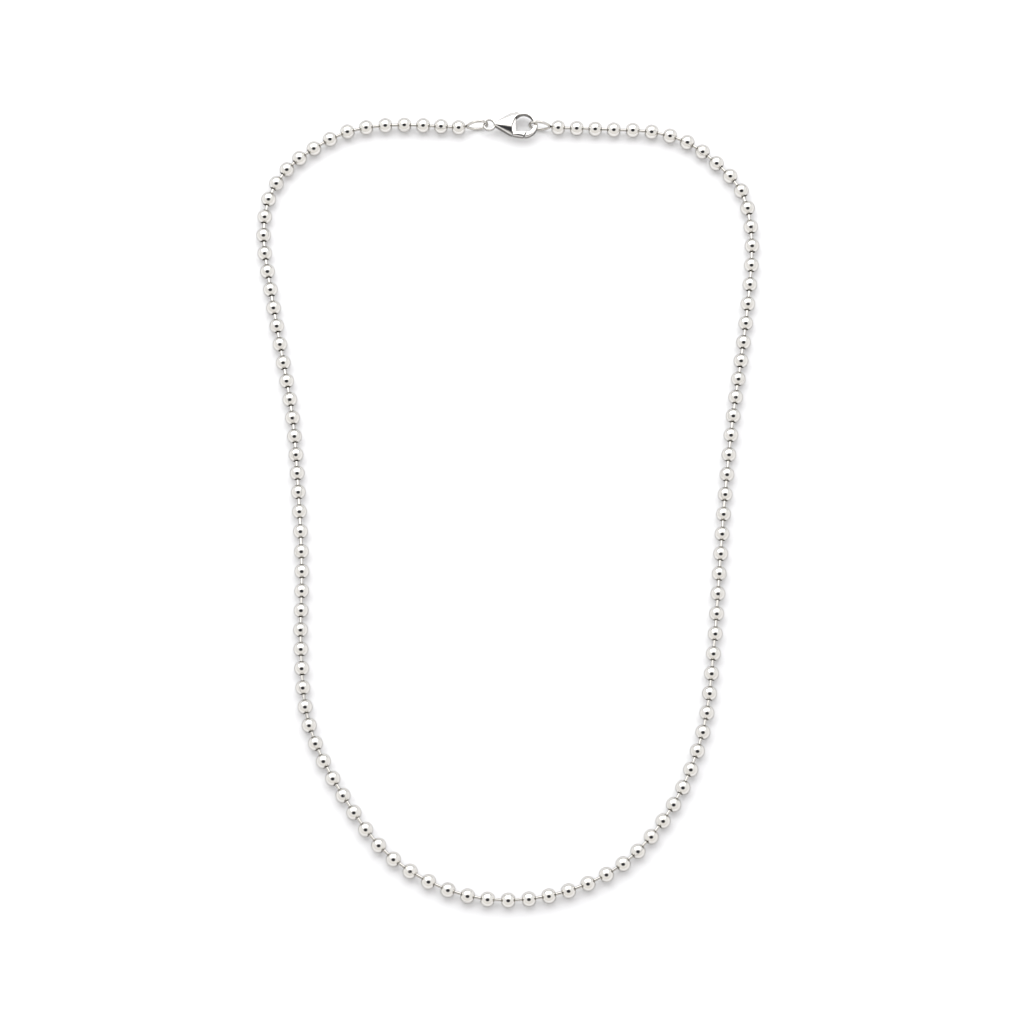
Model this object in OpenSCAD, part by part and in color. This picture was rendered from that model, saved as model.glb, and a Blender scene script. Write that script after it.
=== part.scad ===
// Ball chain necklace with a lobster clasp, laid out as a closed loop on a surface.
// +X is to the right and +Y away from the viewer. The surface is z = 0, and the origin is under the
// loop's middle.

/* [Chain] */
// Outside diameter of one ball
bead_d = 3.35; // [2.8:0.05:6]
// Number of balls in the chain
bead_count = 108; // [90:1:125]
// Wall of a hollow ball
bead_wall = 0.25; // [0.15:0.05:0.3]
// Diameter of the hole at each end of a ball
hole_d = 1.4; // [1.2:0.05:1.5]
// Bare wire between two balls when the chain is pulled straight
link_show = 1.25; // [1.1:0.05:2.5]
// Thickness of the wire between two balls
link_d = 0.7; // [0.5:0.05:0.75]
// How far a wire's head reaches past the rim of the hole, on each side
head_lap = 0.15; // [0.1:0.05:0.2]

/* [End loops] */
// Thickness of an end loop's wire
loop_wire = 0.6; // [0.45:0.05:0.65]
// Outside width of an end loop
loop_w = 3.9; // [3.7:0.1:4.4]
// Length of an end loop, from its neck to its far end
loop_len = 4.95; // [4.8:0.05:6.5]
// Radius of an end loop's long sides
loop_side_r = 3; // [2.4:0.1:5]
// Bare neck between the last ball and the end loop
neck_show = 0.12; // [0.1:0.05:1]
// Tilt of the end loops, up from the surface
loop_tilt = 80; // [76:1:85]
// Slack that the right end loop has in the hook
loop_slack = 0.5; // [0.3:0.05:0.6]

/* [Clasp] */
// Overall length of the clasp, from its eye to its nose
clasp_len = 12.35; // [11.5:0.1:16]
// Widest width of the claw
claw_w = 6.2; // [5.8:0.1:7]
// Distance from the claw's widest place back to its shoulder
shoulder_back = 1.9; // [1.7:0.1:2.1]
// Width of the claw over its shoulder
shoulder_w = 5.5; // [5:0.1:6]
// Thickness of the claw at its shoulder
claw_t = 3.2; // [3:0.1:3.4]
// Thickness of the claw at its nose
nose_t = 1.9; // [1.7:0.1:2]
// Thickness of the claw at its tip
tip_t = 2; // [1.6:0.1:2.2]
// Thickness of the hook where it leaves the cheeks
hook_t = 2; // [1.9:0.1:2.6]
// Radius of the domed faces of the tail and the cheeks
face_r = 5.3; // [5:0.1:8]
// Radius of the nearly flat faces of the hook and the gate
hook_face_r = 35; // [20:1:60]
// Rounding of the claw's edges
claw_edge = 0.25; // [0.2:0.05:0.4]
// Width of the claw's tip, where it meets the eye
tip_w = 0.9; // [0.8:0.1:1.2]
// Distance from the eye's ring to the middle of the claw's tip
tip_off = 0.1; // [0:0.05:0.2]
// Width of the hook's arm at the nose
arm_w = 0.9; // [0.7:0.1:1]
// Diameter of the claw's round mouth
mouth_d = 4.6; // [4.2:0.1:4.8]
// Width of the gate and of the hook's point, seen from above
gate_w = 1.3; // [1:0.1:1.5]
// How far the cheeks stand back from the round mouth, where the gate starts
cheek_back = 0.25; // [0.2:0.05:0.4]
// Distance from the claw's widest place back to the gate's tip
point_back = 0.2; // [0:0.05:0.3]
// Diameter of the hole in the eye
eye_hole_d = 2; // [1.9:0.1:2.6]
// Width of the eye's ring
eye_rim = 0.45; // [0.35:0.05:0.6]
// Thickness of the eye's ring
eye_t = 1; // [0.8:0.1:1.1]

/* [Lever] */
// Distance from the eye's centre to the rivet
pivot_x = 4.3; // [4:0.1:4.6]
// Rivet's distance from the clasp's middle line, towards the gate
pivot_off = 0.5; // [0.3:0.1:0.7]
// Diameter of the lever's hub round the rivet
hub_d = 2; // [1.6:0.1:2.2]
// Diameter of the rivet
rivet_d = 0.8; // [0.6:0.1:0.9]
// Thickness of the lever's tongue inside the claw
tongue_t = 1.1; // [0.9:0.1:1.2]
// Width of the lever's bar between the hub and the mouth
bar_w = 1.1; // [0.8:0.1:1.3]
// How far the bar stands out of the cheeks into the mouth
bar_show = 0.75; // [0.4:0.05:0.9]
// Width of the thumb tab
tab_w = 1.1; // [0.9:0.1:1.3]
// How far the thumb tab stands out of the claw
tab_show = 0.9; // [0.6:0.1:1.3]
// How far the lever opens
open_angle = 14; // [10:1:15]

/* [Fits] */
// Clear gap between pieces that can move in each other
play = 0.12; // [0.1:0.01:0.14]
// Clear gap at the gate's tip
tip_gap = 0.2; // [0.1:0.05:0.3]
// Clear gap between the left end loop and the rim of the eye's hole
eye_gap = 0.17; // [0.15:0.01:0.2]
// Clear gap round the rivet
rivet_play = 0.05; // [0.03:0.01:0.08]
// Metal over the rivet's blind end
rivet_cover = 0.6; // [0.5:0.05:0.7]

/* [Hidden] */
round_fn = 40;
skin_fn = 32;
dome_steps = 6;
rim_steps = 4;

// Where the eye's centre lies
eye_x = -4.05;
eye_y = 86.5;

// Turn of the end loops in plan, and the side of the eye's rim that the left one is pulled against
left_turn = 6;
right_turn = 5;
seat_turn = 15;

// The chain's route, chosen for 108 balls at a full pitch of 4.6
route_count = 108;
route_pitch = 4.6;
BALL = 0;
ROUTE_X = 1;
ROUTE_Y = 2;
// ball number, x, y
route = [
    [0, -11, 86],
    [2, -19, 86.5],
    [4, -27.5, 86.5],
    [6, -36, 85],
    [8, -43.5, 81],
    [10, -49.5, 76],
    [12, -53.5, 69],
    [14, -54.5, 60.5],
    [16, -53.5, 52],
    [20, -50.5, 35],
    [24, -47.5, 18],
    [28, -46, 1],
    [32, -45, -17],
    [36, -45, -34.5],
    [40, -43, -51.5],
    [44, -35.5, -67],
    [48, -24.5, -81],
    [52, -8.5, -89],
    [56, 9, -89],
    [60, 25, -82],
    [64, 36, -69],
    [68, 42.5, -53],
    [72, 45, -35.5],
    [76, 46.5, -17.5],
    [80, 48, 0.5],
    [84, 50, 18.5],
    [88, 52.5, 35.5],
    [92, 54.5, 53.5],
    [94, 54.5, 62.5],
    [96, 52.5, 71],
    [98, 47, 77.5],
    [100, 40.5, 82.5],
    [102, 32.5, 85],
    [104, 24, 85.5],
    [107, 11.5, 86]
];

// Ball and wire. A head is straight for a first share of its length, and narrows to a share of its radius.
head_step = 0.4;
head_taper = 0.7;
bead_r = bead_d / 2;
bore_r = bead_r - bead_wall;
pitch = bead_d + link_show;
head_r = hole_d / 2 + head_lap;
shoulder_at = sqrt(pow(bore_r - play, 2) - pow(head_r, 2));

// End loop's wire at its soldered neck, and where two of its bends meet, as shares of its thickness
neck_swell = 1.15;
bend_swell = 1.03;

// Lap of the tongue's pieces, and how far inside the claw's far edge the thumb tab is measured from
gate_lap = 0.35;
tab_sink = 0.15;

// Clasp, measured from the eye's centre along its middle line
eye_r = eye_hole_d / 2;
eye_out_r = eye_r + eye_rim;
nose_x = clasp_len - eye_out_r;
claw_x = nose_x - claw_w / 2;
shoulder_x = claw_x - shoulder_back;
tip_x = eye_out_r + tip_off;
mouth_x = nose_x - arm_w - mouth_d / 2;
mouth_floor = gate_w - claw_w / 2;
cheek_x = mouth_x - mouth_d / 2 - cheek_back;
gate_r = norm([claw_x - point_back - pivot_x, claw_w / 2 - pivot_off]);
bar_x = cheek_x + bar_show;
tab_top = claw_w / 2 - tab_sink + tab_show;

// End loops
wire_r = loop_wire / 2;
loop_r = loop_w / 2 - wire_r;
loop_reach = loop_len - loop_r - wire_r;
side_x = (2 * loop_side_r * loop_r - pow(loop_r, 2) - pow(loop_reach, 2)) / (2 * loop_reach);
side_y = sqrt(pow(loop_side_r - loop_r, 2) - pow(side_x, 2));
half_w = loop_side_r - side_y;
neck_at = bead_r + neck_show;
end_at = neck_at + loop_reach + loop_r;

// The lower wires of the end loops rest on the surface, and the clasp lies on them
rest_gap = 0.03;
claw_z = max(wire_r + half_w * sin(loop_tilt) + rest_gap, claw_t / 2);
loop_rise = asin((claw_z - bead_r) / (neck_at + loop_reach));

// Places of the two end loops' far ends, and of the first and last ball
eye_seat_r = eye_r - eye_gap - wire_r;
left_end = [eye_x - eye_seat_r * cos(seat_turn), eye_y + eye_seat_r * sin(seat_turn)];
right_end = [eye_x + nose_x - arm_w - play - wire_r - loop_slack, eye_y];
first_ball = left_end - end_at * cos(loop_rise) * [cos(left_turn), sin(left_turn)];
last_ball = right_end + end_at * cos(loop_rise) * [cos(right_turn), -sin(right_turn)];

// Route as a smooth curve through its rows, read by ball number
rows = len(route);
route_last = route_count - 1;
route_scale = (bead_count - 1) * pitch / (route_last * route_pitch);

function row_at(n, k = 0) = k >= rows - 2 || route[k + 1][BALL] > n ? k : row_at(n, k + 1);

function row_point(k) = [route[k][ROUTE_X], route[k][ROUTE_Y]];

function row_slope(k) =
    let (a = max(k - 1, 0), b = min(k + 1, rows - 1))
    (row_point(b) - row_point(a)) / (route[b][BALL] - route[a][BALL]);

function route_point(n) =
    let (
        k = row_at(n),
        step = route[k + 1][BALL] - route[k][BALL],
        t = (n - route[k][BALL]) / step
    )
    row_point(k) * (2 * pow(t, 3) - 3 * pow(t, 2) + 1)
    + row_slope(k) * step * (pow(t, 3) - 2 * pow(t, 2) + t)
    + row_point(k + 1) * (3 * pow(t, 2) - 2 * pow(t, 3))
    + row_slope(k + 1) * step * (pow(t, 3) - pow(t, 2));

// The loop grows with the chain, and its two ends stay at the clasp
function ball_place(i) =
    let (share = i / (bead_count - 1))
    route_point(share * route_last) * route_scale
    + (first_ball - row_point(0) * route_scale) * (1 - share)
    + (last_ball - row_point(rows - 1) * route_scale) * share;

balls_at = [for (i = [0:bead_count - 1]) ball_place(i)];
path = concat([left_end], balls_at, [right_end]);
closest = min([for (i = [0:bead_count - 2]) norm(balls_at[i + 1] - balls_at[i])]);

// A wire is as long as the full pitch asks for, and two heads pass into one ball when the chain closes up
link_core = pitch - 2 * shoulder_at;
head_len = shoulder_at - (pitch - closest) / 2 - play;

function heading(from, to) = atan2(to[1] - from[1], to[0] - from[0]);

// A headed end: the head's shoulder at the origin, with the wire leaving along -X
module head() {
    rotate([0, 90, 0])
        rotate_extrude($fn = round_fn)
            polygon([
                [0, 0],
                [head_r, 0],
                [head_r, head_len * head_step],
                [head_r * head_taper, head_len],
                [0, head_len]
            ]);
}

module wire(length, radius) {
    rotate([0, 90, 0])
        cylinder(h = length, r = radius, $fn = round_fn);
}

module ball() {
    rotate([0, 90, 0])
        rotate_extrude($fn = round_fn)
            difference() {
                circle(r = bead_r, $fn = round_fn);
                circle(r = bore_r, $fn = round_fn);
                translate([-bead_d, -bead_d])
                    square([bead_d + hole_d / 2, 2 * bead_d]);
            }
}

module link() {
    for (side = [0, 180])
        rotate([0, 0, side])
            translate([link_core / 2, 0, 0])
                head();
    translate([-link_core / 2 - head_len / 2, 0, 0])
        wire(link_core + head_len, link_d / 2);
}

module balls() {
    color("gainsboro")
        for (i = [0:bead_count - 1])
            translate([balls_at[i][0], balls_at[i][1], bead_r])
                rotate([0, 0, heading(path[i], path[i + 2])])
                    ball();
}

module ball_links() {
    color("silver")
        for (i = [0:bead_count - 2])
            let (mid = (balls_at[i] + balls_at[i + 1]) / 2)
                translate([mid[0], mid[1], bead_r])
                    rotate([0, 0, heading(balls_at[i], balls_at[i + 1])])
                        link();
}

// Wire arc in the XY plane, from one angle over a sweep
module wire_arc(radius, from, sweep) {
    rotate([0, 0, from])
        rotate_extrude(angle = sweep, $fn = 2 * round_fn)
            translate([radius, 0])
                circle(r = wire_r, $fn = round_fn);
}

// Drop-shaped loop in the XY plane with its neck at the origin, and its stem reaching back into the ball
module end_loop() {
    join_angle = atan2(side_y, -side_x);
    neck_angle = atan2(side_y, -loop_reach - side_x);
    translate([loop_reach, 0, 0]) {
        wire_arc(loop_r, -join_angle, 2 * join_angle);
        for (side = [-1, 1])
            rotate([0, 0, side * join_angle])
                translate([loop_r, 0, 0])
                    sphere(r = wire_r * bend_swell, $fn = round_fn);
        translate([side_x, -side_y, 0])
            wire_arc(loop_side_r, join_angle, neck_angle - join_angle);
        translate([side_x, side_y, 0])
            wire_arc(loop_side_r, -neck_angle, neck_angle - join_angle);
    }
    sphere(r = wire_r * neck_swell, $fn = round_fn);
    translate([shoulder_at - neck_at - head_len / 2, 0, 0])
        wire(neck_at - shoulder_at + head_len / 2, wire_r);
    translate([shoulder_at - neck_at, 0, 0])
        rotate([0, 0, 180])
            head();
}

module end_loop_left() {
    color("silver")
        translate([first_ball[0], first_ball[1], bead_r])
            rotate([0, -loop_rise, left_turn])
                translate([neck_at, 0, 0])
                    rotate([loop_tilt, 0, 0])
                        end_loop();
}

module end_loop_right() {
    color("silver")
        translate([last_ball[0], last_ball[1], bead_r])
            rotate([0, -loop_rise, 180 - right_turn])
                translate([neck_at, 0, 0])
                    rotate([-loop_tilt, 0, 0])
                        end_loop();
}

module at_clasp() {
    translate([eye_x, eye_y, claw_z])
        children();
}

// A disc with domed faces and a rounded rim, lying in the XY plane
module pebble(width, thick, dome_r) {
    rim = width / 2 - claw_edge;
    turn = asin(rim / (dome_r - claw_edge));
    rim_z = thick / 2 - dome_r + (dome_r - claw_edge) * cos(turn);
    face = [
        for (k = [0:dome_steps])
            let (a = turn * k / dome_steps)
                [dome_r * sin(a), thick / 2 - dome_r * (1 - cos(a))]
    ];
    round_rim = [
        for (k = [1:rim_steps])
            let (a = turn + (90 - turn) * k / rim_steps)
                [rim + claw_edge * sin(a), rim_z + claw_edge * cos(a)]
    ];
    upper = concat(face, round_rim);
    rotate_extrude($fn = skin_fn)
        polygon(concat(upper, [for (k = [len(upper) - 1:-1:0]) [upper[k][0], -upper[k][1]]]));
}

// The domed tail and cheeks of the claw, from the eye to the shoulder
module tail_form() {
    hull() {
        translate([tip_x, 0, 0])
            pebble(tip_w, tip_t, face_r);
        translate([shoulder_x, 0, 0])
            pebble(shoulder_w, claw_t, face_r);
    }
}

// The flatter hook, right of the cheeks, which the gate is cut from too
module hook_form() {
    intersection() {
        hull() {
            translate([shoulder_x, 0, 0])
                pebble(shoulder_w, hook_t, hook_face_r);
            translate([claw_x, 0, 0])
                pebble(claw_w, nose_t, hook_face_r);
        }
        translate([cheek_x, -claw_w, -claw_t])
            cube([2 * claw_w, 2 * claw_w, 2 * claw_t]);
    }
}

// Plan of the claw's mouth, which the gate closes on the near side. Its far side is round, and its left side
// runs straight down the edge of the cheeks.
module mouth_plan() {
    intersection() {
        hull() {
            translate([mouth_x, 0])
                circle(d = mouth_d, $fn = 2 * round_fn);
            translate([cheek_x, mouth_floor])
                square([mouth_d / 2, -mouth_floor - gate_lap]);
        }
        translate([cheek_x, mouth_floor])
            square([claw_w, claw_w]);
    }
}

// Plan of the gate, right of the cheeks and up to the hook's point, with its tip on an arc about the rivet.
// Grown by the gaps, it is the room for the gate.
module gate_plan(side_gap = 0, end_gap = 0) {
    intersection() {
        translate([cheek_x + play - side_gap, -claw_w])
            square([claw_w, claw_w + mouth_floor + side_gap]);
        translate([pivot_x, -pivot_off])
            circle(r = gate_r + end_gap, $fn = 2 * round_fn);
    }
}

// The tongue's hub round the rivet
module tongue_hub() {
    translate([pivot_x, -pivot_off])
        circle(d = hub_d, $fn = round_fn);
}

// The tongue's root in the gate
module tongue_root() {
    translate([bar_x - bar_w, mouth_floor - gate_lap])
        square([bar_w, gate_lap]);
}

// The round end of the thumb tab
module tongue_tab() {
    translate([bar_x - tab_w / 2, tab_top - tab_w / 2])
        circle(d = tab_w, $fn = round_fn);
}

// Plan of the tongue, from the gate past the rivet to the thumb tab
module tongue_plan() {
    tongue_tab();
    translate([bar_x - bar_w, mouth_floor - gate_lap])
        square([bar_w, tab_top - tab_w / 2 - mouth_floor + gate_lap]);
    hull() {
        tongue_hub();
        tongue_root();
    }
}

// Room in the claw for the tongue over its whole swing
module tongue_room() {
    linear_extrude(tongue_t + 2 * play, center = true)
        offset(r = play, $fn = skin_fn)
            hull()
                for (turn = [0:open_angle / 4:open_angle])
                    translate([pivot_x, -pivot_off])
                        rotate(turn)
                            translate([-pivot_x, pivot_off]) {
                                tongue_hub();
                                tongue_root();
                                tongue_tab();
                            }
}

module eye() {
    rotate_extrude($fn = round_fn) {
        translate([eye_r, -eye_t / 2 + eye_rim / 2])
            square([eye_rim, eye_t - eye_rim]);
        for (side = [-1, 1])
            translate([eye_r + eye_rim / 2, side * (eye_t - eye_rim) / 2])
                circle(d = eye_rim, $fn = round_fn);
    }
}

// Round bar on the rivet's axis, from the underside up to the blind end
module pivot(diameter, end_gap = 0) {
    translate([pivot_x, -pivot_off, -claw_t / 2 - end_gap])
        cylinder(h = claw_t - rivet_cover + 2 * end_gap, d = diameter, $fn = round_fn);
}

module clasp_body() {
    color("silver")
        at_clasp() {
            difference() {
                union() {
                    tail_form();
                    hook_form();
                }
                linear_extrude(2 * claw_t, center = true)
                    mouth_plan();
                linear_extrude(2 * claw_t, center = true)
                    gate_plan(play, tip_gap);
                tongue_room();
                pivot(rivet_d + 2 * rivet_play, rivet_play);
            }
            eye();
        }
}

module clasp_lever() {
    color("gainsboro")
        at_clasp()
            difference() {
                union() {
                    intersection() {
                        hook_form();
                        linear_extrude(2 * claw_t, center = true)
                            gate_plan();
                    }
                    linear_extrude(tongue_t, center = true)
                        tongue_plan();
                }
                pivot(rivet_d + 2 * rivet_play, rivet_play);
            }
}

module clasp_rivet() {
    color("silver")
        at_clasp()
            pivot(rivet_d);
}

balls();
ball_links();
end_loop_left();
end_loop_right();
clasp_body();
clasp_lever();
clasp_rivet();
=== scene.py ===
"""Looks of a ball chain necklace: mirror-polished balls on headed wires, two wire end loops and a lobster
clasp, on white paper in a light tent."""
import math
import random

import bmesh
import bpy
import numpy as np
from mathutils import Matrix, Vector


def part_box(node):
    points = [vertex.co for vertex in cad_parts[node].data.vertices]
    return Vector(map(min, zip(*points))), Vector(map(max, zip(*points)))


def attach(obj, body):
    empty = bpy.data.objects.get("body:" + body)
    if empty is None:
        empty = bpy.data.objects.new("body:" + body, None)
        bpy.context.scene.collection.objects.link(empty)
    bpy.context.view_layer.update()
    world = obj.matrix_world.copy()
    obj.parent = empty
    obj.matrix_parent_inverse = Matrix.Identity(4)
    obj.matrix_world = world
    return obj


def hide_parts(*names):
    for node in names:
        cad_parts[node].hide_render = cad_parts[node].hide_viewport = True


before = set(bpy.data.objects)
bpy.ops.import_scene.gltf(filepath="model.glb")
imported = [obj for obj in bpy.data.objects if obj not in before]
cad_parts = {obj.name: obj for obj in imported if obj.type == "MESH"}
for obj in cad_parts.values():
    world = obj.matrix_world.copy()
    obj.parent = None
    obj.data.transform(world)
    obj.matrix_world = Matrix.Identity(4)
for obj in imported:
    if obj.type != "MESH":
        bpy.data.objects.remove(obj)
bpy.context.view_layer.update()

# A millimetre in metres, which are the frame's unit
MM = 0.001

# Sizes in millimetres, as part.scad has them or works them out. Only the rolled lip of a ball's hole is new.
BALL_D = 3.35
BALL_WALL = 0.25
HOLE_D = 1.4
LIP_R = 0.06
WIRE_D = 0.7
HEAD_D = 1.7
HEAD_LEN = 0.504
PLAY = 0.12
PITCH = 4.6
LOOP_WIRE = 0.6
LOOP_W = 3.9
LOOP_LEN = 4.95
LOOP_SIDE_R = 3.0
NECK_SHOW = 0.12
CLASP_Z = 1.989

# Tilt of the end loops up from the surface, and their turns in plan, in degrees
LOOP_TILT = 80
LEFT_TURN = 6
RIGHT_TURN = 5

BALL_R = BALL_D / 2
BORE_R = BALL_R - BALL_WALL
HOLE_R = HOLE_D / 2
HEAD_R = HEAD_D / 2
# Distance from a ball's centre to the shoulder of a head in it
SHOULDER_AT = math.sqrt((BORE_R - PLAY) ** 2 - HEAD_R**2)

# A head is straight for a first share of its length, and narrows to a share of its radius
HEAD_STEP = 0.4
HEAD_TAPER = 0.7

# The wire swells into its head over a short fillet: where it starts and ends before the shoulder, and how
# much wider the wire is at its end
FILLET_FROM = 0.12
FILLET_TO = 0.03
FILLET_SWELL = 0.1

# How far a rolled lip turns past the ball's axis, and how far from the axis the wall's inside starts, in
# degrees
LIP_TURN = 110
INSIDE_STOP = 35

# Steps of the arcs, and sides of the round forms. The chain repeats its two forms over 100 times each, so
# they are light.
BALL_STEPS = 14
INSIDE_STEPS = 4
LIP_STEPS = 4
BALL_SIDES = 26
LINK_SIDES = 14
DROP_SIDE_STEPS = 20
DROP_BEND_STEPS = 40
LOOP_WIRE_SIDES = 24

# An end loop's stem reaches past the shoulder into the ball, and laps the drop's neck, where it is soldered
STEM_SINK = 0.1
STEM_MIDDLE = -0.5
STEM_LAP = 0.12

# Points of a CAD node closer than this are joined
WELD = 0.0005

# Even remeshing of the clasp and the end loops, and how far each smoothing round moves a point
CLASP_VOXEL = 0.06
LOOP_VOXEL = 0.045
RELAX = 0.5

# Polishing spares creases: the turns between neighbouring points, in degrees, at which that starts and is
# complete, and how many rows of points beside a crease count with it
CREASE_STARTS = 5
CREASE_SHARP = 12
CREASE_ROWS = 3

# The ball that shows no dark spot in the photo, counted from 0 at the clasp's left side. Its hairline seam is
# turned up, by a roll in degrees. The other balls roll by chance.
SEAM_UP_BALL = 24
SEAM_UP_ROLL = 80
DICE_SEED = 7

# Camera at the photograph's viewing angle: degrees and metres, and the focal length and the frame in pixels
CAMERA_EL = 75
CAMERA_FAR = 1.0
LOOK_AT = Vector((0.00105, -0.00313, 0))
FOCAL_PX = 4540
FRAME_PX = 1024
SENSOR_MM = 36
CLIP_NEAR = 0.01
CLIP_FAR = 20

# The tent's opening: its middle elevation and its half angles in degrees, and the shares of them over which
# its edge fades
OPENING_EL = 72
OPENING_WIDE = 30
OPENING_HIGH = 24
OPENING_FADE = (0.8, 1.15)
OPENING_GREY = "#38383C"

# The tent's cloth changes from its front colour to its back colour over a span of depth, where -1 is straight
# in front and 1 is straight behind
TENT_FRONT = "#EAE8E6"
TENT_BACK = "#F4F5F7"
TENT_FADE = (-0.9, 0.6)
TENT_STRENGTH = 1.2

# Dim foot of the wall behind: it brightens over a span of height, and towards the sides over a span of the
# same depth
WALL_GREY = "#5A5A5E"
WALL_RISE = (0.0, 0.2)
WALL_SIDES = (0.85, 0.45)

# Keeps a division off zero
NEARLY_ZERO = 0.001

# Half width of the floor in metres, and its paper
FLOOR_HALF = 3.0
PAPER_WHITE = "#FCFCFD"
PAPER_ROUGH = 0.9
PAPER_GLOSS = 0.1

# Range that a noise texture mostly stays in
NOISE_LOW = 0.3
NOISE_HIGH = 0.7

# Hairline seam of a ball, in millimetres
SEAM_W = 0.05
SEAM_DEEP = 0.02
SEAM_STRENGTH = 0.6
SEAM_TARNISH = "#8B8784"

# Unplated brass, its dark tones also painted shade in the holes, and the size of its stains in millimetres
BORE_BRASS_SHADE_DARK = "#5A5347"
BORE_BRASS_SHADE_LIGHT = "#857A68"
BRASS_ROUGH = 0.55
STAIN_MM = 0.7


def to_linear(hex_colour):
    """sRGB hex to linear RGBA."""
    parts = [int(hex_colour[i : i + 2], 16) / 255 for i in (1, 3, 5)]
    return [c / 12.92 if c <= 0.04045 else ((c + 0.055) / 1.055) ** 2.4 for c in parts] + [1]


def add_node(tree, kind, settings=None, **links):
    """Adds a node, sets its properties, and links or sets its inputs. An input is given by its name, with
    underscores for spaces, or by its number as i0, i1 and so on."""
    node = tree.nodes.new(kind)
    for key, value in (settings or {}).items():
        setattr(node, key, value)
    for key, value in links.items():
        numbered = key[0] == "i" and key[1:].isdigit()
        socket = node.inputs[int(key[1:])] if numbered else node.inputs[key.replace("_", " ")]
        if isinstance(value, bpy.types.NodeSocket):
            tree.links.new(value, socket)
        else:
            socket.default_value = value
    return node


def linked(name, data):
    """A new object in the scene."""
    thing = bpy.data.objects.new(name, data)
    bpy.context.scene.collection.objects.link(thing)
    return thing


def face_back(thing, place, back):
    """Puts a camera or a light at its place, with its back in the direction given."""
    thing.location = place
    thing.rotation_mode = "QUATERNION"
    thing.rotation_quaternion = (-back).to_track_quat("-Z", "Y")


# Camera, light and floor
def make_camera():
    """A camera that looks at the necklace from the near side, from well above."""
    el = math.radians(CAMERA_EL)
    back = Vector((0, -math.cos(el), math.sin(el)))
    data = bpy.data.cameras.new("photo_camera")
    data.sensor_width = SENSOR_MM
    data.lens = FOCAL_PX / FRAME_PX * SENSOR_MM
    data.clip_start = CLIP_NEAR
    data.clip_end = CLIP_FAR
    camera = linked("photo_camera", data)
    face_back(camera, LOOK_AT + back * CAMERA_FAR, back)
    bpy.context.scene.camera = camera


def off_opening(tree, ahead, right, up):
    """How far a direction is from the middle of the tent's opening, where 1 is its rim. It takes the parts of
    the direction towards the opening, to its right and up it."""
    ahead = add_node(tree, "ShaderNodeMath", {"operation": "MAXIMUM"}, i0=ahead, i1=NEARLY_ZERO)
    squares = []
    for part, half_angle in ((right, OPENING_WIDE), (up, OPENING_HIGH)):
        reach = math.tan(math.radians(half_angle))
        slope = add_node(tree, "ShaderNodeMath", {"operation": "DIVIDE"}, i0=part, i1=ahead.outputs[0])
        share = add_node(tree, "ShaderNodeMath", {"operation": "DIVIDE"}, i0=slope.outputs[0], i1=reach)
        square = add_node(
            tree, "ShaderNodeMath", {"operation": "MULTIPLY"}, i0=share.outputs[0], i1=share.outputs[0]
        )
        squares.append(square.outputs[0])
    total = add_node(tree, "ShaderNodeMath", {"operation": "ADD"}, i0=squares[0], i1=squares[1])
    return add_node(tree, "ShaderNodeMath", {"operation": "SQRT"}, i0=total.outputs[0]).outputs[0]


def make_surround():
    """A white light tent: its wall behind is dim low down, and the camera looks in through a dark opening."""
    world = bpy.data.worlds.new("light tent")
    bpy.context.scene.world = world
    world.use_nodes = True
    tree = world.node_tree
    tree.nodes.clear()
    el = math.radians(OPENING_EL)
    axes = {
        "to the opening": Vector((0, -math.cos(el), math.sin(el))),
        "up the opening": Vector((0, math.sin(el), math.cos(el))),
        "right": Vector((1, 0, 0)),
        "away": Vector((0, 1, 0)),
        "up": Vector((0, 0, 1)),
    }
    direction = add_node(tree, "ShaderNodeTexCoord").outputs["Generated"]
    along = {}
    for name, axis in axes.items():
        product = add_node(tree, "ShaderNodeVectorMath", {"operation": "DOT_PRODUCT"}, i0=direction, i1=axis)
        along[name] = product.outputs["Value"]
    off = off_opening(tree, along["to the opening"], along["right"], along["up the opening"])

    # Each fade runs from 0 at the start of its span to 1 at the end
    fades = {}
    for name, value, style, span in (
        ("opening", off, "SMOOTHSTEP", OPENING_FADE),
        ("depth", along["away"], "LINEAR", TENT_FADE),
        ("height", along["up"], "SMOOTHSTEP", WALL_RISE),
        ("side", along["away"], "SMOOTHSTEP", WALL_SIDES),
    ):
        fade = add_node(
            tree, "ShaderNodeMapRange", {"interpolation_type": style}, Value=value,
            From_Min=span[0], From_Max=span[1],
        )
        fades[name] = fade.outputs[0]
    lit = add_node(tree, "ShaderNodeMath", {"operation": "MAXIMUM"}, i0=fades["height"], i1=fades["side"])

    # Where a fade is 0, its own colour covers what came before it
    colour = to_linear(TENT_BACK)
    for factor, cover in (
        (fades["depth"], TENT_FRONT), (lit.outputs[0], WALL_GREY), (fades["opening"], OPENING_GREY),
    ):
        layer = add_node(
            tree, "ShaderNodeMix", {"data_type": "RGBA"}, Factor=factor, i6=to_linear(cover), i7=colour
        )
        colour = layer.outputs[2]
    light = add_node(tree, "ShaderNodeBackground", {}, Color=colour, Strength=TENT_STRENGTH)
    add_node(tree, "ShaderNodeOutputWorld", {}, Surface=light.outputs[0])


def make_softbox(name, azimuth, elevation, far, width, height, watts):
    """A large softbox that faces the necklace. Azimuth 0 is in front, and 90 at the left."""
    a = math.radians(azimuth)
    e = math.radians(elevation)
    at = Vector((-math.sin(a) * math.cos(e), -math.cos(a) * math.cos(e), math.sin(e)))
    data = bpy.data.lights.new(name, "AREA")
    data.shape = "RECTANGLE"
    data.size = width
    data.size_y = height
    data.energy = watts
    face_back(linked(name, data), at * far, at)


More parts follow.
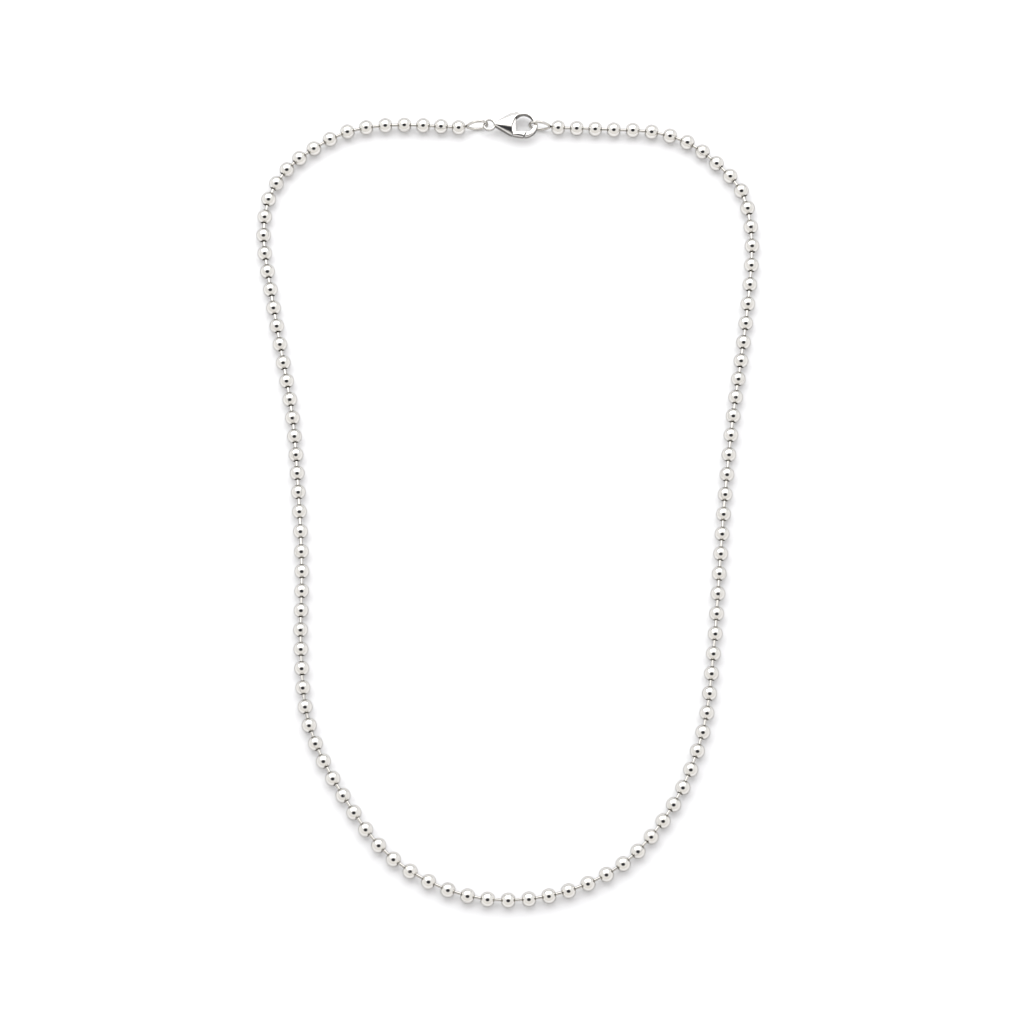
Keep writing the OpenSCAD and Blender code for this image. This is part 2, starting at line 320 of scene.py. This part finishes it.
def make_floor():
    """A sheet of white paper."""
    mesh = bpy.data.meshes.new("floor")
    corners = [(x * FLOOR_HALF, y * FLOOR_HALF, 0) for x, y in ((-1, -1), (1, -1), (1, 1), (-1, 1))]
    mesh.from_pydata(corners, [], [(0, 1, 2, 3)])
    floor = linked("floor", mesh)
    material = bpy.data.materials.new("white paper sweep")
    material.use_nodes = True
    shader = material.node_tree.nodes["Principled BSDF"]
    shader.inputs["Base Color"].default_value = to_linear(PAPER_WHITE)
    shader.inputs["Roughness"].default_value = PAPER_ROUGH
    shader.inputs["Specular IOR Level"].default_value = PAPER_GLOSS
    mesh.materials.append(material)


scene = bpy.context.scene
scene.view_settings.view_transform = "Standard"
scene.view_settings.look = "None"
make_camera()
make_surround()
make_softbox("softbox behind", azimuth=170, elevation=52, far=1.0, width=1.6, height=0.95, watts=7.4)
make_floor()


# Materials
def rolled_seam(tree, base, relief):
    """The edges of the rolled strip meet in a hairline along each ball: a groove with a little tarnish in it.
    Returns the colour and the relief with the seam added."""
    wrap = add_node(tree, "ShaderNodeUVMap", {"uv_map": "wrap"})
    parts = add_node(tree, "ShaderNodeSeparateXYZ", {}, Vector=wrap.outputs[0])
    beside = add_node(
        tree, "ShaderNodeMath", {"operation": "PINGPONG"}, i0=parts.outputs["X"], i1=math.pi * BALL_R
    )
    line = add_node(
        tree, "ShaderNodeMapRange", {"interpolation_type": "SMOOTHSTEP"}, Value=beside.outputs[0],
        From_Min=SEAM_W / 2, From_Max=SEAM_W, To_Min=1.0, To_Max=0.0,
    )
    groove = add_node(
        tree, "ShaderNodeBump", {"invert": True}, Strength=SEAM_STRENGTH, Distance=SEAM_DEEP * MM,
        Height=line.outputs[0], Normal=relief,
    )
    tarnish = add_node(
        tree, "ShaderNodeMix", {"data_type": "RGBA"}, Factor=line.outputs[0],
        i6=base, i7=to_linear(SEAM_TARNISH),
    )
    return tarnish.outputs[2], groove.outputs[0]


def silver(name, colour, edge, rough, rough_spread, blotch_mm, dent_mm, dent_deep_mm, seam=False):
    """Bright silver plate. Faint blotches of polish vary its gloss and its colour, and shallow waves bend its
    reflections. The edge colour is painted shade: it darkens the reflection at a glancing angle and so draws
    the thin grey outline round each piece."""
    material = bpy.data.materials.new(name)
    material.use_nodes = True
    tree = material.node_tree
    shader = tree.nodes["Principled BSDF"]
    shader.inputs["Metallic"].default_value = 1.0
    # The edge colour darkens glancing reflections: painted shade that draws the outlines
    shader.inputs["Specular Tint"].default_value = to_linear(edge)
    place = add_node(tree, "ShaderNodeTexCoord").outputs["Object"]
    blotch = add_node(
        tree, "ShaderNodeTexNoise", {}, Vector=place, Scale=1 / (blotch_mm * MM), Detail=3.0, Roughness=0.6
    )
    gloss = add_node(
        tree, "ShaderNodeMapRange", {}, Value=blotch.outputs[0], From_Min=NOISE_LOW, From_Max=NOISE_HIGH,
        To_Min=rough, To_Max=rough + rough_spread,
    )
    tint = add_node(
        tree, "ShaderNodeMix", {"data_type": "RGBA"}, Factor=blotch.outputs[0],
        i6=to_linear(colour[0]), i7=to_linear(colour[1]),
    )
    waves = add_node(tree, "ShaderNodeTexNoise", {}, Vector=place, Scale=1 / (dent_mm * MM), Detail=1.0)
    dents = add_node(
        tree, "ShaderNodeBump", {}, Strength=1.0, Distance=dent_deep_mm * MM, Height=waves.outputs[0]
    )
    base = tint.outputs[2]
    relief = dents.outputs[0]
    if seam:
        base, relief = rolled_seam(tree, base, relief)
    tree.links.new(gloss.outputs[0], shader.inputs["Roughness"])
    tree.links.new(base, shader.inputs["Base Color"])
    tree.links.new(relief, shader.inputs["Normal"])
    return material


def brass_and_painted_shade():
    """Plating hardly reaches the inside of a ball: dull, stained brass. Its dark tone is also painted shade,
    which makes the wire's hole read as a hole."""
    material = bpy.data.materials.new("unplated brass inside the balls")
    material.use_nodes = True
    tree = material.node_tree
    shader = tree.nodes["Principled BSDF"]
    shader.inputs["Metallic"].default_value = 1.0
    shader.inputs["Roughness"].default_value = BRASS_ROUGH
    place = add_node(tree, "ShaderNodeTexCoord").outputs["Object"]
    stain = add_node(tree, "ShaderNodeTexNoise", {}, Vector=place, Scale=1 / (STAIN_MM * MM), Detail=4.0)
    tint = add_node(
        tree, "ShaderNodeMix", {"data_type": "RGBA"}, Factor=stain.outputs[0],
        i6=to_linear(BORE_BRASS_SHADE_DARK), i7=to_linear(BORE_BRASS_SHADE_LIGHT),
    )
    tree.links.new(tint.outputs[2], shader.inputs["Base Color"])
    return material


# Barrel-polished silver plate on rolled brass balls: a clean mirror with a faint orange-peel wave, and a grey
# edge colour that paints shade round its outline
ball_silver = silver(
    "barrel-polished silver plate", ("#E4E2DD", "#DDDAD5"), edge="#ACACAE", rough=0.035, rough_spread=0.03,
    blotch_mm=1.4, dent_mm=0.9, dent_deep_mm=0.004, seam=True,
)
# Bright drawn wire with the same plate: a little duller than the balls, with dark rims painted in as shade by
# its edge colour
wire_silver = silver(
    "bright drawn silver-plated wire", ("#D0CDC8", "#C4C1BB"), edge="#1A1A1E", rough=0.04, rough_spread=0.04,
    blotch_mm=0.6, dent_mm=0.35, dent_deep_mm=0.004,
)
# Cast brass, tumbled and plated: soft edges and a wavier mirror, and a dark edge colour that paints shade
# round its outline
clasp_silver = silver(
    "tumbled silver-plated casting", ("#E4E2DE", "#DEDBD7"), edge="#34343A", rough=0.05, rough_spread=0.05,
    blotch_mm=1.8, dent_mm=1.3, dent_deep_mm=0.012,
)
# Dark brass in the ball bores, partly painted shade in the holes
bore_brass_and_shade = brass_and_painted_shade()


# Places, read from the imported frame
def merged(node):
    """A CAD node's mesh in millimetres, with its loose triangles joined."""
    mesh = bmesh.new()
    mesh.from_mesh(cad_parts[node].data)
    bmesh.ops.scale(mesh, vec=(1 / MM, 1 / MM, 1 / MM), verts=mesh.verts)
    bmesh.ops.remove_doubles(mesh, verts=mesh.verts, dist=WELD)
    return mesh


def centres(node):
    """Centre of each separate solid of a CAD node, weighted by the areas of its faces."""
    mesh = merged(node)
    mesh.faces.ensure_lookup_table()
    seen = set()
    found = []
    for first in mesh.faces:
        if first.index in seen:
            continue
        seen.add(first.index)
        todo = [first]
        total = 0.0
        middle = Vector()
        while todo:
            face = todo.pop()
            area = face.calc_area()
            total += area
            middle += face.calc_center_median() * area
            for edge in face.edges:
                for other in edge.link_faces:
                    if other.index not in seen:
                        seen.add(other.index)
                        todo.append(other)
        found.append(middle / total)
    mesh.free()
    return found


def in_order(points, start):
    """Walks the chain from the ball nearest to the start."""
    left = list(points)
    at = start
    walk = []
    while left:
        nearest = min(left, key=lambda p: (p - at).length)
        left.remove(nearest)
        walk.append(nearest)
        at = nearest
    return walk


def middle_of(node):
    """Middle of a CAD node's box, in millimetres."""
    low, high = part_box(node)
    return (Vector(low) + Vector(high)) / 2 / MM


balls_at = in_order(centres("balls"), middle_of("end_loop_left"))
balls_at = [Vector((p.x, p.y, BALL_R)) for p in balls_at]


# Forms of a ball and of a wire between two balls
def arc(centre, radius, start, end, steps):
    """Points of an arc as (along, out), with angles in degrees from the X axis."""
    out = []
    for k in range(steps + 1):
        a = math.radians(start + (end - start) * k / steps)
        out.append((centre[0] + radius * math.cos(a), centre[1] + radius * math.sin(a)))
    return out


def revolve(name, profile, sides, closed, inside=()):
    """Turns a profile of (along X, radius) points about X. The UV map holds millimetres round and along.
    The faces between the profile's points in the span "inside" are marked as a hollow's."""
    mesh = bmesh.new()
    hollow = mesh.faces.layers.bool.new("inside")
    uv = mesh.loops.layers.uv.new("wrap")
    turns = [2 * math.pi * k / sides for k in range(sides)]
    rings = []
    for x, r in profile:
        if r == 0:
            rings.append([mesh.verts.new((x, 0, 0))] * sides)
        else:
            rings.append([mesh.verts.new((x, r * math.cos(t), r * math.sin(t))) for t in turns])
    pairs = list(zip(range(len(rings)), range(1, len(rings))))
    if closed:
        pairs.append((len(rings) - 1, 0))
    round_mm = 2 * math.pi * max(r for _, r in profile)
    for a, b in pairs:
        for k in range(sides):
            n = (k + 1) % sides
            corners = []
            for vertex, turn, ring in (
                (rings[a][k], k, a), (rings[a][n], k + 1, a), (rings[b][n], k + 1, b), (rings[b][k], k, b),
            ):
                if all(vertex is not corner[0] for corner in corners):
                    corners.append((vertex, turn, ring))
            face = mesh.faces.new([corner[0] for corner in corners])
            for loop, (_, turn, ring) in zip(face.loops, corners):
                loop[uv].uv = (turn / sides * round_mm, profile[ring][0])
            face[hollow] = bool(inside) and inside[0] <= a < inside[1]
    bmesh.ops.recalc_face_normals(mesh, faces=mesh.faces)
    bmesh.ops.scale(mesh, vec=(MM, MM, MM), verts=mesh.verts)
    data = bpy.data.meshes.new(name)
    mesh.to_mesh(data)
    mesh.free()
    return data


def ball_form():
    """Shell of a ball, with a rolled lip at each hole."""
    reach = BALL_R - LIP_R
    lip_at = (math.sqrt(reach**2 - (HOLE_R + LIP_R) ** 2), HOLE_R + LIP_R)
    lean = math.degrees(math.atan2(lip_at[1], lip_at[0]))
    outer = arc((0, 0), BALL_R, lean, 180 - lean, BALL_STEPS)
    left_lip = arc((-lip_at[0], lip_at[1]), LIP_R, 180 - lean, 180 + LIP_TURN, LIP_STEPS)[1:]
    inner = arc((0, 0), BORE_R, 180 - INSIDE_STOP, INSIDE_STOP, INSIDE_STEPS)
    right_lip = arc(lip_at, LIP_R, -LIP_TURN, lean, LIP_STEPS)[:-1]
    start = len(outer) + len(left_lip) - 1
    span = (start, start + len(inner) + 1)
    return revolve("ball_form", outer + left_lip + inner + right_lip, BALL_SIDES, True, span)


def link_form():
    """Wire between two balls, with a head at each end."""
    core = PITCH / 2 - SHOULDER_AT
    wire_r = WIRE_D / 2
    right = [
        (core / 2, wire_r),
        (core - FILLET_FROM, wire_r),
        (core - FILLET_TO, wire_r + FILLET_SWELL),
        (core, HEAD_R),
        (core + HEAD_LEN * HEAD_STEP, HEAD_R),
        (core + HEAD_LEN, HEAD_R * HEAD_TAPER),
        (core + HEAD_LEN, 0),
    ]
    left = [(-x, r) for x, r in reversed(right)]
    return revolve("link_form", left + [(0, wire_r)] + right, LINK_SIDES, False)


# Geometry nodes
def chain_tree():
    """Geometry nodes that set one piece at each point of the chain, turned along it."""
    tree = bpy.data.node_groups.new("pieces along the chain", "GeometryNodeTree")
    for kind, name in (
        ("Geometry", "Chain"), ("Object", "Piece"), ("Float", "Size"), ("Material", "Finish"),
        ("Material", "Inside finish"),
    ):
        tree.interface.new_socket(name, in_out="INPUT", socket_type="NodeSocket" + kind)
    tree.interface.new_socket("Chain", in_out="OUTPUT", socket_type="NodeSocketGeometry")
    given = add_node(tree, "NodeGroupInput").outputs
    way = add_node(tree, "GeometryNodeInputNamedAttribute", {"data_type": "FLOAT_VECTOR"}, Name="along")
    roll = add_node(tree, "GeometryNodeInputNamedAttribute", {"data_type": "FLOAT"}, Name="roll")
    aim = add_node(tree, "FunctionNodeAlignRotationToVector", {"axis": "X"}, Vector=way.outputs[0])
    turn = add_node(tree, "FunctionNodeAxisAngleToRotation", {}, Axis=(1, 0, 0), Angle=roll.outputs[0])
    turned = add_node(
        tree, "FunctionNodeRotateRotation", {"rotation_space": "LOCAL"}, Rotation=aim.outputs[0],
        Rotate_By=turn.outputs[0],
    )
    piece = add_node(tree, "GeometryNodeObjectInfo", {}, Object=given["Piece"])
    placed = add_node(
        tree, "GeometryNodeInstanceOnPoints", {}, Points=given["Chain"], Instance=piece.outputs["Geometry"],
        Rotation=turned.outputs[0], Scale=given["Size"],
    )
    real = add_node(tree, "GeometryNodeRealizeInstances", {}, Geometry=placed.outputs[0])
    finished = add_node(
        tree, "GeometryNodeSetMaterial", {}, Geometry=real.outputs[0], Material=given["Finish"]
    )
    hollow = add_node(tree, "GeometryNodeInputNamedAttribute", {"data_type": "BOOLEAN"}, Name="inside")
    lined = add_node(
        tree, "GeometryNodeSetMaterial", {}, Geometry=finished.outputs[0], Selection=hollow.outputs[0],
        Material=given["Inside finish"],
    )
    out = add_node(tree, "NodeGroupOutput")
    tree.links.new(lined.outputs[0], out.inputs[0])
    return tree


def wire_tree():
    """Geometry nodes that draw a round wire along a path."""
    tree = bpy.data.node_groups.new("round wire", "GeometryNodeTree")
    for kind, name in (
        ("Geometry", "Path"), ("Float", "Thickness"), ("Int", "Sides"), ("Material", "Finish"),
    ):
        tree.interface.new_socket(name, in_out="INPUT", socket_type="NodeSocket" + kind)
    tree.interface.new_socket("Wire", in_out="OUTPUT", socket_type="NodeSocketGeometry")
    given = add_node(tree, "NodeGroupInput").outputs
    curve = add_node(tree, "GeometryNodeMeshToCurve", {}, Mesh=given["Path"])
    half = add_node(tree, "ShaderNodeMath", {"operation": "MULTIPLY"}, i0=given["Thickness"], i1=0.5)
    ring = add_node(
        tree, "GeometryNodeCurvePrimitiveCircle", {}, Resolution=given["Sides"], Radius=half.outputs[0]
    )
    tube = add_node(
        tree, "GeometryNodeCurveToMesh", {}, Curve=curve.outputs[0], Profile_Curve=ring.outputs[0],
        Fill_Caps=True,
    )
    real = add_node(tree, "GeometryNodeRealizeInstances", {}, Geometry=tube.outputs[0])
    finished = add_node(
        tree, "GeometryNodeSetMaterial", {}, Geometry=real.outputs[0], Material=given["Finish"]
    )
    out = add_node(tree, "NodeGroupOutput")
    tree.links.new(finished.outputs[0], out.inputs[0])
    return tree


def plain(source, name):
    """The evaluated result of an object's modifiers as a new plain object, and the source removed."""
    bpy.context.view_layer.update()
    ready = source.evaluated_get(bpy.context.evaluated_depsgraph_get())
    data = bpy.data.meshes.new_from_object(ready)
    data.name = name
    bpy.data.objects.remove(source)
    return linked(name, data)


def grown(name, data, tree, **inputs):
    """Runs a geometry node tree on a mesh and returns the plain result."""
    source = linked(name + "_source", data)
    modifier = source.modifiers.new("grow", "NODES")
    modifier.node_group = tree
    for item in tree.interface.items_tree:
        if item.in_out == "INPUT" and item.name in inputs:
            modifier[item.identifier] = inputs[item.name]
    return plain(source, name)


def finish_piece(piece, body, node, material):
    """Shades a piece smooth, gives it its material, and tells the frame what it is."""
    for polygon in piece.data.polygons:
        polygon.use_smooth = True
    # A piece grown by geometry nodes has its material already
    if not any(piece.data.materials):
        piece.data.materials.clear()
        piece.data.materials.append(material)
    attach(piece, body)
    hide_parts(node)


# The chain
def strung(name, form, places, ways, rolls, finish, lining):
    """Sets a form at each place of the chain, in millimetres, turned along its way and rolled about it."""
    points = bpy.data.meshes.new(name + "_places")
    points.from_pydata([p * MM for p in places], [], [])
    along = points.attributes.new("along", "FLOAT_VECTOR", "POINT")
    along.data.foreach_set("vector", [c for way in ways for c in way])
    points.attributes.new("roll", "FLOAT", "POINT").data.foreach_set("value", rolls)
    piece = linked(form.name, form)
    chain = grown(name, points, on_chain, Piece=piece, Size=1.0, Finish=finish, **{"Inside finish": lining})
    bpy.data.objects.remove(piece)
    return chain


def make_balls():
    """The balls, each with its holes along the chain and its seam rolled to anywhere round it."""
    path = [middle_of("end_loop_left")] + balls_at + [middle_of("end_loop_right")]
    ways = []
    for before, after in zip(path, path[2:]):
        way = after - before
        ways.append(Vector((way.x, way.y, 0)).normalized())
    rolls = [dice.uniform(0, 2 * math.pi) for _ in balls_at]
    rolls[SEAM_UP_BALL] = math.radians(SEAM_UP_ROLL)
    return strung("chain_balls", ball_form(), balls_at, ways, rolls, ball_silver, bore_brass_and_shade)


def make_links():
    """The headed wires, one between each two neighbouring balls."""
    middles = [(a + b) / 2 for a, b in zip(balls_at, balls_at[1:])]
    ways = [(b - a).normalized() for a, b in zip(balls_at, balls_at[1:])]
    rolls = [dice.uniform(0, math.pi) for _ in middles]
    return strung("chain_links", link_form(), middles, ways, rolls, wire_silver, wire_silver)


dice = random.Random(DICE_SEED)
on_chain = chain_tree()
finish_piece(make_balls(), "root", "balls", ball_silver)
finish_piece(make_links(), "root", "ball_links", wire_silver)


# Pieces softened from solids
def flat_weights(data):
    """How far each point lies from a crease, from 0 at a crease to 1 on an even face."""
    normals = np.empty(len(data.vertices) * 3)
    data.vertices.foreach_get("normal", normals)
    normals = normals.reshape(-1, 3)
    pairs = np.empty(len(data.edges) * 2, dtype=np.int64)
    data.edges.foreach_get("vertices", pairs)
    a, b = pairs.reshape(-1, 2).T
    turn = np.degrees(np.arccos(np.clip((normals[a] * normals[b]).sum(1), -1, 1)))
    most = np.zeros(len(normals))
    np.maximum.at(most, a, turn)
    np.maximum.at(most, b, turn)
    for _ in range(CREASE_ROWS):
        wider = most.copy()
        np.maximum.at(wider, a, most[b])
        np.maximum.at(wider, b, most[a])
        most = wider
    return 1 - np.clip((most - CREASE_STARTS) / (CREASE_SHARP - CREASE_STARTS), 0, 1)


def polished(piece, name, rounds):
    """Smooths the even faces of a piece, as a polishing wheel does, and spares its creases."""
    data = piece.data
    weights = flat_weights(data)
    bpy.data.objects.remove(piece)
    source = linked(name + "_source", data)
    even = source.vertex_groups.new(name="even faces")
    for index, weight in enumerate(weights):
        if weight > 0:
            even.add([index], float(weight), "REPLACE")
    wheel = source.modifiers.new("polish", "SMOOTH")
    wheel.factor = RELAX
    wheel.iterations = rounds
    wheel.vertex_group = even.name
    return plain(source, name)


def soften(name, mesh, voxel, rounds, polish=0):
    """Remeshes a solid in millimetres evenly, relaxes it as tumbling rounds a casting, and polishes its even
    faces. The result is in metres."""
    data = bpy.data.meshes.new(name)
    mesh.to_mesh(data)
    mesh.free()
    source = linked(name + "_source", data)
    remesh = source.modifiers.new("remesh", "REMESH")
    remesh.mode = "VOXEL"
    remesh.voxel_size = voxel
    tumble = source.modifiers.new("tumble", "SMOOTH")
    tumble.factor = RELAX
    tumble.iterations = rounds
    piece = plain(source, name)
    if polish:
        piece = polished(piece, name, polish)
    piece.data.transform(Matrix.Scale(MM, 4))
    return piece


clasp_body = soften("clasp_claw", merged("clasp_body"), CLASP_VOXEL, rounds=8, polish=50)
finish_piece(clasp_body, "root", "clasp_body", clasp_silver)
clasp_lever = soften("clasp_gate_and_tab", merged("clasp_lever"), CLASP_VOXEL, rounds=5, polish=30)
finish_piece(clasp_lever, "lever", "clasp_lever", clasp_silver)


# End loops
def loop_paths():
    """Centre lines of an end loop in millimetres: the closed drop, and the stem into the last ball. The neck
    is the origin. The last values are the neck's distance from the ball's centre and the drop's reach."""
    wire_r = LOOP_WIRE / 2
    loop_r = LOOP_W / 2 - wire_r
    reach = LOOP_LEN - loop_r - wire_r
    side_x = (2 * LOOP_SIDE_R * loop_r - loop_r**2 - reach**2) / (2 * reach)
    side_y = math.sqrt((LOOP_SIDE_R - loop_r) ** 2 - side_x**2)
    join = math.degrees(math.atan2(side_y, -side_x))
    neck = math.degrees(math.atan2(side_y, -reach - side_x))
    drop = arc((reach + side_x, -side_y), LOOP_SIDE_R, neck, join, DROP_SIDE_STEPS)
    drop += arc((reach, 0), loop_r, join, -join, DROP_BEND_STEPS)[1:]
    drop += arc((reach + side_x, side_y), LOOP_SIDE_R, -join, -neck, DROP_SIDE_STEPS)[1:-1]
    neck_at = BALL_R + NECK_SHOW
    stem = [(SHOULDER_AT - neck_at - STEM_SINK, 0), (STEM_MIDDLE, 0), (0, 0), (STEM_LAP, 0)]
    return drop, stem, neck_at, reach


def end_loop(name, ball, turn, tilt):
    """An end loop at its ball, with its drop and its stem run into one wire."""
    drop, stem, neck_at, reach = loop_paths()
    rise = math.asin((CLASP_Z - BALL_R) / (neck_at + reach))
    place = Matrix.Translation(ball) @ Matrix.Rotation(math.radians(turn), 4, "Z")
    place = place @ Matrix.Rotation(-rise, 4, "Y")
    place = place @ Matrix.Translation((neck_at, 0, 0)) @ Matrix.Rotation(math.radians(tilt), 4, "X")
    whole = bmesh.new()
    for part, points, closed in (("drop", drop, True), ("stem", stem, False)):
        data = bpy.data.meshes.new(part)
        edges = [(k, k + 1) for k in range(len(points) - 1)]
        if closed:
            edges.append((len(points) - 1, 0))
        data.from_pydata([place @ Vector((x, y, 0)) for x, y in points], edges, [])
        tube = grown(
            name + "_" + part, data, round_wire, Thickness=LOOP_WIRE, Sides=LOOP_WIRE_SIDES,
            Finish=wire_silver,
        )
        whole.from_mesh(tube.data)
        bpy.data.objects.remove(tube)
    bmesh.ops.recalc_face_normals(whole, faces=whole.faces)
    return soften(name, whole, LOOP_VOXEL, rounds=6)


round_wire = wire_tree()
left_loop = end_loop("left_end_loop", balls_at[0], LEFT_TURN, LOOP_TILT)
finish_piece(left_loop, "root", "end_loop_left", wire_silver)
right_loop = end_loop("right_end_loop", balls_at[-1], 180 - RIGHT_TURN, -LOOP_TILT)
finish_piece(right_loop, "root", "end_loop_right", wire_silver)

# The rivet stays as packed
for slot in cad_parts["clasp_rivet"].material_slots:
    slot.material = clasp_silver
